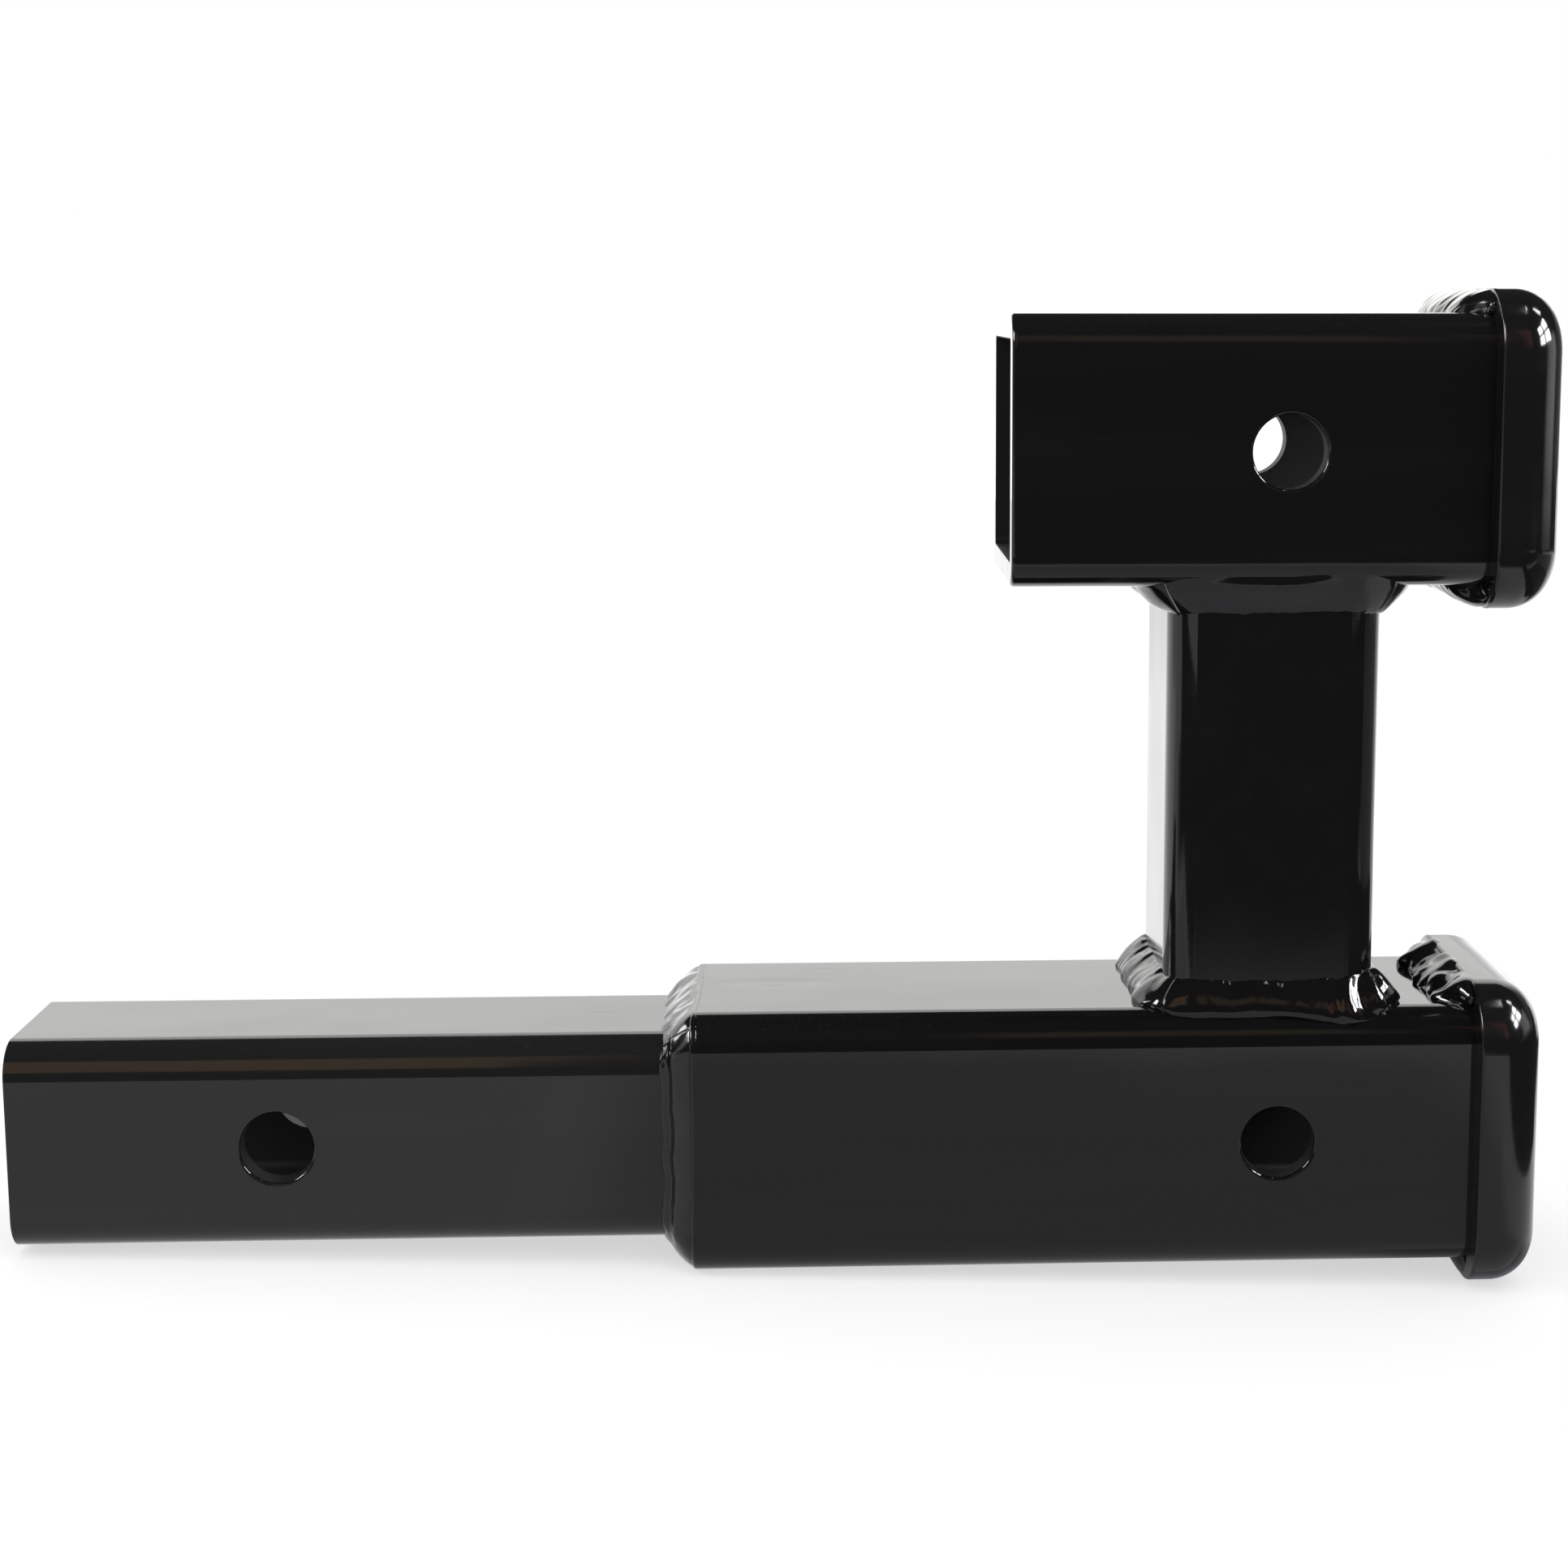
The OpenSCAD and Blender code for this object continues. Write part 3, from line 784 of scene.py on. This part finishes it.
def shankRun(side, looks):
    width, corner = tube["shankWidth"], tube["shankCorner"]
    length = sideLength(width, corner)
    out = Vector((-1, 0, 0))

    def sectionAt(share):
        (ry, rz), _ = sidePoint(width, corner, side, share)
        (ty, tz), _ = sidePoint(tube["receiverWidth"], tube["receiverCorner"], side, share)
        root = Vector((tube["receiverEnd"], ry, rz))
        reach = Vector((0, ty - ry, tz - rz))
        up = reach.normalized()
        place = (side + share) * length
        ragged = blendedValue("toeOut", looks, side, share)
        legOut = raggedLeg(shankWeld["alongShank"], ragged, place, 4 * length, shankWeld["seed"])
        over = raggedLeg(shankWeld["over"], 0.5, place, 4 * length, shankWeld["seed"] + 2)
        toe = root + out * legOut - up * bead["sink"]
        top = root + up * (reach.length + blendedValue("lap", looks, side, share)) - out * over
        return root, toe, top, out, up

    return length, sectionAt


riserWeld = {
    "foot": {"front": 7.4, "back": 5.8, "side": 3.3, "up": 7.0, "seed": 11.0, "bulge": 1.8,
             "lobes": {"centre": 0.0, "reach": 15.0, "pitch": 5.6, "phase": 0.15, "height": 0.65}},
    "head": {"front": 9.0, "back": 6.4, "side": 4.4, "up": 6.6, "seed": 23.0, "bulge": 1.0, "lobes": None},
}


def riserRun(end, side, looks):
    legs = riserWeld[end]
    width, corner = tube["riserWidth"], tube["riserCorner"]
    length = sideLength(width, corner)
    z, up = (tube["footZ"], Vector((0, 0, 1))) if end == "foot" else (tube["headZ"], Vector((0, 0, -1)))

    def sectionAt(share):
        (rx, ry), (nx, ny) = sidePoint(width, corner, side, share)
        root = Vector((tube["riserX"] + rx, ry, z))
        out = Vector((nx, ny, 0))
        place = (side + share) * length
        leg = nx * nx * (legs["front"] if nx < 0 else legs["back"]) + ny * ny * legs["side"]
        leg += legs["bulge"] * ringBump(place, 4 * length, 0.0, 0.5 * length)
        ragged = blendedValue("toeOut", looks, side, share) * (0.3 + 0.7 * nx * nx)
        legOut = raggedLeg(leg, ragged, place, 4 * length, legs["seed"])
        ragged = blendedValue("toeUp", looks, side, share)
        legUp = raggedLeg(legs["up"], ragged, place, 4 * length, legs["seed"] + 7)
        legUp += 0.6 * legs["bulge"] * ringBump(place, 4 * length, 0.0, 0.3 * length)
        drop = cornerDrop(tube["receiverWidth"], tube["receiverCorner"], ry + ny * legOut)
        toe = root + out * legOut - up * (drop + bead["sink"])
        top = root + up * legUp - out * bead["sink"]
        return root, toe, top, out, up

    return length, sectionAt


collarWeld = {"skip": 0.06, "fade": 0.16}


def collarRun(z, side, along, over, look, seed):
    width, corner = tube["receiverWidth"], tube["receiverCorner"]
    length = sideLength(width, corner)
    out = Vector((-1, 0, 0))

    def sectionAt(share):
        (ry, rz), _ = sidePoint(width, corner, side, share)
        (ty, tz), _ = sidePoint(tube["collarWidth"], tube["collarCorner"], side, share)
        root = Vector((tube["collarX"], ry, z + rz))
        reach = Vector((0, ty - ry, tz - rz))
        up = reach.normalized()
        end = min(share, 1 - share) - collarWeld["skip"]
        fade = math.sqrt(smooth(end / collarWeld["fade"]) * 0.97 + 0.03)
        place = (side + share) * length
        legOut = fade * raggedLeg(along, look["toeOut"], place, 4 * length, seed)
        toe = root + out * legOut - up * bead["sink"]
        lap = fade * raggedLeg(over, 0.25 * over, place, 4 * length, seed + 2)
        climb = (reach.length - 0.04) * lerp(0.6, 1.0, fade)
        top = root + up * climb - out * lerp(0.2, lap, smooth(fade * 2 - 1))
        return root, toe, top, out, up

    return length, sectionAt


shankSides = ("right", "top", "left", "bottom")
shankLooks = (shankSideRun, shankTopRun, shankSideRun, shankTopRun)
riserSides = ("back", "right", "front", "left")
riserLooks = {"foot": (footFrontRun, footSideRun, footFrontRun, footSideRun),
              "head": (headFrontRun, headSideRun, headFrontRun, headSideRun)}

for side, name in enumerate(shankSides):
    length, sectionAt = shankRun(side, shankLooks)
    weldRun("shankBead" + name.capitalize(), "shank_bead_" + name, length, roundTheRing(shankLooks, side),
            sectionAt, side * length, 4 * length, shankWeld["seed"])
for end, looks in riserLooks.items():
    for side, name in enumerate(riserSides):
        length, sectionAt = riserRun(end, side, looks)
        weldRun(end + "Bead" + name.capitalize(), end + "_bead_" + name, length, roundTheRing(looks, side),
                sectionAt, side * length, 4 * length, riserWeld[end]["seed"], lobes=riserWeld[end]["lobes"])
collarRuns = (("lower", "top", 1, 0.0, 8.2, 2.2, lowerCollarRun),
              ("lower", "bottom", 3, 0.0, 3.4, 0.5, lowerCollarUnder),
              ("upper", "top", 1, tube["rise"], 8.2, 2.2, upperCollarRun),
              ("upper", "bottom", 3, tube["rise"], 8.2, 1.4, upperCollarUnder))
for level, name, side, z, along, over, look in collarRuns:
    seed = 37.0 if level == "lower" else 41.0
    length, sectionAt = collarRun(z, side, along, over, look, seed + side)
    weldRun(level + "CollarBead" + name.capitalize(), level + "_collar_bead_" + name, length, [look] * 3,
            sectionAt, side * length, 4 * length, seed + side, (collarWeld["skip"], 1 - collarWeld["skip"]))
print("weld beads done")


# Studio: pale floor that the part rests on, white surround, soft lamps, panels and dark flags

studio = {
    "floorRestFront": (99.2, -31.75),    # x and z of the tube edge that touches the floor
    "floorRestBack": (287.4, -37.5),     # and of the collar's
    "floorGap": 0.15,
    "floorSize": 12.0,
    "floorColour": (0.58, 0.58, 0.58),
    "floorLift": 0.6,
    "surround": 0.75,
    "room": ((-2.2, -1.5, -0.2), (2.2, 1.3, 2.0)),
    "roomLevel": (0.034, 0.034, 0.036),
    "middle": (0.12, 0.0, 0.06),         # what the lamps face
    "backY": 0.42,
    "flagY": -0.265,
    "flagFoot": -0.047,
    "wallY": -1.45,
}


def cameraOrGlossy(tree, place):
    path = addNode(tree, "ShaderNodeLightPath", place)
    seen = mathNode(tree, "MAXIMUM", path.outputs["Is Camera Ray"], path.outputs["Is Transmission Ray"],
                    place=(place[0] + 200, place[1]))
    return mathNode(tree, "MAXIMUM", seen, path.outputs["Is Glossy Ray"], place=(place[0] + 400, place[1]))


def makeWorld():
    world = bpy.data.worlds.new("whiteSurround")
    scene.world = world
    tree = newTree(world)
    level = addNode(tree, "ShaderNodeBackground", (0, 0), Strength=studio["surround"])
    white = addNode(tree, "ShaderNodeBackground", (0, -200), Strength=1.0)
    for node in (level, white):
        node.inputs["Color"].default_value = (1, 1, 1, 1)
    choose = addNode(tree, "ShaderNodeMixShader", (300, 0))
    output = addNode(tree, "ShaderNodeOutputWorld", (500, 0))
    tree.links.new(cameraOrGlossy(tree, (-700, 300)), choose.inputs["Fac"])
    tree.links.new(level.outputs[0], choose.inputs[1])
    tree.links.new(white.outputs[0], choose.inputs[2])
    tree.links.new(choose.outputs[0], output.inputs["Surface"])


def makeFloor():
    (x0, z0), (x1, z1) = studio["floorRestFront"], studio["floorRestBack"]
    tilt = math.atan2(z0 - z1, x1 - x0)
    half = studio["floorSize"] / 2
    mesh = bpy.data.meshes.new("floor")
    corners = [(-half, -half, 0), (half, -half, 0), (half, half, 0), (-half, half, 0)]
    mesh.from_pydata(corners, [], [(0, 1, 2, 3)])
    floor = bpy.data.objects.new("floor", mesh)
    scene.collection.objects.link(floor)
    floor.location = (x0 * mm, 0, (z0 - studio["floorGap"]) * mm)
    floor.rotation_euler = (0, tilt, 0)
    material = bpy.data.materials.new("paleFloor")
    tree = newTree(material)
    diffuse = addNode(tree, "ShaderNodeBsdfDiffuse", (0, 0))
    diffuse.inputs["Color"].default_value = (*studio["floorColour"], 1)
    lift = addNode(tree, "ShaderNodeEmission", (0, -200))
    strength = mathNode(tree, "MULTIPLY", cameraOrGlossy(tree, (-900, -200)), studio["floorLift"],
                        place=(-200, -200))
    tree.links.new(strength, lift.inputs["Strength"])
    total = addNode(tree, "ShaderNodeAddShader", (250, 0))
    output = addNode(tree, "ShaderNodeOutputMaterial", (450, 0))
    tree.links.new(diffuse.outputs[0], total.inputs[0])
    tree.links.new(lift.outputs[0], total.inputs[1])
    tree.links.new(total.outputs[0], output.inputs["Surface"])
    mesh.materials.append(material)


# A soft lamp that faces a point and is seen by neither the camera nor the gloss
def softPanel(name, place, faces, width, height, brightness):
    data = bpy.data.lights.new(name, "AREA")
    data.shape = "RECTANGLE"
    data.size, data.size_y = width, height
    data.energy = math.pi * width * height * brightness
    panel = bpy.data.objects.new(name, data)
    scene.collection.objects.link(panel)
    panel.location = place
    panel.rotation_mode = "QUATERNION"
    panel.rotation_quaternion = (Vector(faces) - Vector(place)).to_track_quat("-Z", "Y")
    panel.visible_camera = False
    panel.visible_glossy = False


# A card that only reflections see. fade is the share of its width and height over which it fades in
# at both ends; foot is where a glow at its foot starts to fall, where it ends, and its level
def glossCard(name, corners, colour, fade=(0.0, 0.0), foot=None):
    mesh = bpy.data.meshes.new(name)
    mesh.from_pydata(corners, [], [(0, 1, 2, 3)])
    spots = mesh.uv_layers.new(name="card")
    for loop, spot in zip(spots.data, ((0, 0), (1, 0), (1, 1), (0, 1))):
        loop.uv = spot
    card = bpy.data.objects.new(name, mesh)
    scene.collection.objects.link(card)
    material = bpy.data.materials.new(name + "Cloth")
    tree = newTree(material)
    cardEmission = addNode(tree, "ShaderNodeEmission", (0, 0), Strength=1.0)
    cardEmission.inputs["Color"].default_value = (*colour, 1)
    output = addNode(tree, "ShaderNodeOutputMaterial", (400, 0))
    if foot:
        height = addNode(tree, "ShaderNodeUVMap", (-900, 500), uv_map="card")
        level = addNode(tree, "ShaderNodeSeparateXYZ", (-700, 500))
        tree.links.new(height.outputs[0], level.inputs[0])
        rise = remap(tree, level.outputs["Y"], foot[0], foot[1], 1.0, 0.0, place=(-500, 500))
        glow = mathNode(tree, "POWER", rise, 3.0, place=(-300, 500))
        blend = addNode(tree, "ShaderNodeMix", (-200, 500), data_type="RGBA")
        blend.inputs["A"].default_value = (*colour, 1)
        blend.inputs["B"].default_value = (foot[2], foot[2], foot[2], 1)
        tree.links.new(glow, blend.inputs["Factor"])
        tree.links.new(blend.outputs["Result"], cardEmission.inputs["Color"])
    if any(fade):
        coords = addNode(tree, "ShaderNodeUVMap", (-900, 200), uv_map="card")
        parts = addNode(tree, "ShaderNodeSeparateXYZ", (-700, 200))
        tree.links.new(coords.outputs[0], parts.inputs[0])
        masks = []
        for axis, reach in zip("XY", fade):
            if reach:
                edge = mathNode(tree, "PINGPONG", parts.outputs[axis], 0.5, place=(-500, 200))
                masks.append(remap(tree, edge, 0.0, reach, place=(-300, 200)))
        mask = masks[0] if len(masks) == 1 else mathNode(tree, "MULTIPLY", *masks, place=(-100, 200))
        clear = addNode(tree, "ShaderNodeBsdfTransparent", (0, -200))
        choose = addNode(tree, "ShaderNodeMixShader", (200, 0))
        tree.links.new(mask, choose.inputs["Fac"])
        tree.links.new(clear.outputs[0], choose.inputs[1])
        tree.links.new(cardEmission.outputs[0], choose.inputs[2])
        tree.links.new(choose.outputs[0], output.inputs["Surface"])
    else:
        tree.links.new(cardEmission.outputs[0], output.inputs["Surface"])
    mesh.materials.append(material)
    card.visible_camera = False
    card.visible_diffuse = False
    card.visible_transmission = False
    card.visible_volume_scatter = False
    card.visible_shadow = False


# Upright cards across the view (fixed y) and along it (fixed x)
def cardAcross(name, y, xs, zs, colour, fade=(0.0, 0.0), foot=None):
    corners = [(xs[0], y, zs[0]), (xs[1], y, zs[0]), (xs[1], y, zs[1]), (xs[0], y, zs[1])]
    glossCard(name, corners, colour, fade, foot)


def cardAlong(name, x, ys, zs, colour, fade=(0.0, 0.0)):
    corners = [(x, ys[0], zs[0]), (x, ys[1], zs[0]), (x, ys[1], zs[1]), (x, ys[0], zs[1])]
    glossCard(name, corners, colour, fade)


def cardOver(name, z, xs, ys, colour, fade=(0.0, 0.0)):
    corners = [(xs[0], ys[0], z), (xs[1], ys[0], z), (xs[1], ys[1], z), (xs[0], ys[1], z)]
    glossCard(name, corners, colour, fade)


def cardOnFloor(name, xs, ys, colour, fade=(0.0, 0.0)):
    (x0, z0), (x1, z1) = studio["floorRestFront"], studio["floorRestBack"]
    left, right = ((z0 + (x / mm - x0) * (z1 - z0) / (x1 - x0)) * mm + 0.001 for x in xs)
    corners = [(xs[0], ys[0], left), (xs[1], ys[0], right), (xs[1], ys[1], right), (xs[0], ys[1], left)]
    glossCard(name, corners, colour, fade)


def makeRoom():
    (x0, y0, z0), (x1, y1, z1) = studio["room"]
    level = studio["roomLevel"]
    cardAcross("roomFront", y0, (x0, x1), (z0, z1), level)
    cardAcross("roomBack", y1, (x0, x1), (z0, z1), level)
    cardAlong("roomLeft", x0, (y0, y1), (z0, z1), level)
    cardAlong("roomRight", x1, (y0, y1), (z0, z1), level)
    cardOver("roomTop", z1, (x0, x1), (y0, y1), level)


# White behind the part, mirrored in its tops and left faces
def makeBackPanels():
    y = studio["backY"]
    cardAcross("backPanel", y, (-0.6, 0.5), (0.122, 0.4), (2.0, 2.0, 1.955))
    glossCard("backPanelRight", [(0.5, y, 0.4), (0.5, y, 0.122), (0.85, y, 0.122), (0.85, y, 0.4)],
              (0.25, 0.25, 0.25), foot=(0.0, 1.0, 2.0))
    cardAcross("backPanelLow", y, (-0.6, 0.75), (-0.05, 0.122), (1.4, 1.4, 1.39), foot=(0.5, 1.0, 1.67))
    cardAcross("greyBackRight", y, (0.85, 1.3), (0.1, 0.4), (0.2, 0.2, 0.21))
    # painted light: a bright card lying on the floor behind, standing in for the floor lit by the back panel,
    # seen only in reflections
    cardOnFloor("paintedLightOnFloorBehind", (-0.6, 0.24), (0.1, y), (1.67, 1.67, 1.66))


# Grey and dark cards on the floor that only reflections see, mirrored in the near faces and the corners; the
# shade cards and the one under the lower tube are painted shade
def makeFloorCards():
    cardOnFloor("flagFloorRight", (0.4, 0.9), (-0.25, 0.25), (0.1, 0.1, 0.1), (0.1, 0.1))
    cardOnFloor("flagFloorLeft", (-0.46, -0.13), (-0.3, -0.06), (0.32, 0.32, 0.33), (0.2, 0.2))
    cardOnFloor("flagFloorFar", (0.3, 1.3), (-1.42, -0.27), studio["roomLevel"])
    # painted shade: grey cards on the floor in front, darkening the floor mirrored in the near faces
    cardOnFloor("shadeFront", (0.05, 0.345), (-0.262, 0.0), (0.62, 0.62, 0.66), (0.12, 0.2))
    cardOnFloor("shadeFrontShank", (-0.13, 0.08), (-0.262, 0.02), (0.82, 0.82, 0.84), (0.15, 0.2))
    # painted shadow: a dark card on the floor under the lower tube, where its shadow falls
    cardOnFloor("paintedShadowUnderTube", (0.25, 0.33), (-0.033, 0.036), (0.05, 0.05, 0.05), (0.35, 0.0))


# The only lamps, both soft and never mirrored
def makeFills():
    softPanel("leftFill", (-1.3, -0.3, 0.7), studio["middle"], 0.9, 0.9, 1.0)
    softPanel("overheadFill", (0.1, -0.5, 1.4), studio["middle"], 1.2, 0.8, 0.5)


# Low dark flags in front, whose feet glow a little from the floor, and at both sides
def makeFlags():
    y, foot, dark = studio["flagY"], studio["flagFoot"], studio["roomLevel"]
    cardAcross("flagFrontEnd", y, (-2.0, -0.16), (foot, 0.075), dark)
    cardAcross("flagFront", y, (-0.16, 0.12), (foot, 0.075), dark, foot=(0.05, 0.4, 0.55))
    cardAcross("flagFrontRight", y, (0.12, 0.345), (foot, 0.13), dark, foot=(0.06, 0.4, 0.6))
    cardAcross("flagFrontCollar", y, (0.345, 2.0), (foot, 0.09), dark, foot=(0.06, 0.4, 0.6))
    cardAlong("flagFrontLeft", -0.2, (y, -0.135), (foot, 0.1), dark)
    cardAlong("flagLow", 0.40, (-0.3, 0.06), (-0.05, 0.03), dark)
    cardAlong("flagRight", 0.75, (-0.3, 0.26), (-0.05, 0.075), (0.3, 0.3, 0.31), (0.1, 0.1))


# What stands round the studio: warm walls in front, windows high on each side, strips at both sides
def makeSurroundings():
    y = studio["wallY"]
    cardAcross("warmWall", y, (-0.8, -0.08), (0.3, 1.75), (0.85, 0.53, 0.29), (0.08, 0.1))
    cardAcross("warmWallFar", y, (0.2, 0.68), (0.5, 1.6), (0.4, 0.3, 0.2), (0.25, 0.4))
    cardAcross("redWall", y + 0.01, (0.72, 1.1), (0.3, 1.6), (0.8, 0.31, 0.27), (0.12, 0.25))
    cardOver("ceilingSoft", 1.95, (0.8, 0.94), (-0.6, 0.15), (15.0, 15.0, 15.5), (0.45, 0.4))
    cardAlong("windowUpper", 1.29, (-0.04, 0.2), (1.2, 1.85), (20.0, 20.0, 20.6), (0.15, 0.1))
    for row, zs in (("Low", (0.3, 0.44)), ("High", (0.46, 0.62))):
        for column, ys in (("Near", (-0.4, -0.225)), ("Far", (-0.2, -0.02))):
            cardAlong("pane" + row + column, 0.8, ys, zs, (44.0, 44.0, 45.0), (0.1, 0.1))
    cardAlong("windowLeft", -1.5, (0.45, 0.85), (0.45, 1.0), (15.0, 15.0, 15.5), (0.1, 0.1))
    cardAlong("windowLeftFront", -1.5, (-0.7, -0.1), (0.6, 1.4), (30.0, 30.0, 31.0), (0.1, 0.1))
    cardAlong("stripRight", 1.0, (-0.3, 0.27), (0.05, 0.45), (1.8, 1.82, 1.94), (0.35, 0.25))
    cardAlong("stripLeft", -1.1, (-0.45, -0.05), (-0.02, 0.6), (1.2, 1.2, 1.2), (0.25, 0.2))


makeWorld()
makeFloor()
makeRoom()
makeBackPanels()
makeFloorCards()
makeFills()
makeFlags()
makeSurroundings()
print("studio done")


# Camera, as solved from the photograph

view = {
    "place": (0.1299, -0.6532, 0.1990),
    "pitch": 8.74,
    "yaw": 2.55,
    "focalPixels": 3333.0,
    "centrePixels": (1156.3, 886.0),
    "imagePixels": 1932,
    "sensor": 36.0,
}


def makeCamera():
    data = bpy.data.cameras.new("camera")
    camera = bpy.data.objects.new("camera", data)
    scene.collection.objects.link(camera)
    camera.location = view["place"]
    camera.rotation_euler = (math.radians(90 - view["pitch"]), 0, math.radians(-view["yaw"]))
    size = view["imagePixels"]
    data.sensor_width = view["sensor"]
    data.lens = view["focalPixels"] / size * view["sensor"]
    data.shift_x = (size / 2 - view["centrePixels"][0]) / size
    data.shift_y = (view["centrePixels"][1] - size / 2) / size
    data.clip_start = 0.01
    data.clip_end = 50.0
    scene.camera = camera


makeCamera()
scene.view_settings.view_transform = "Standard"
print("camera done")

bpy.context.view_layer.update()
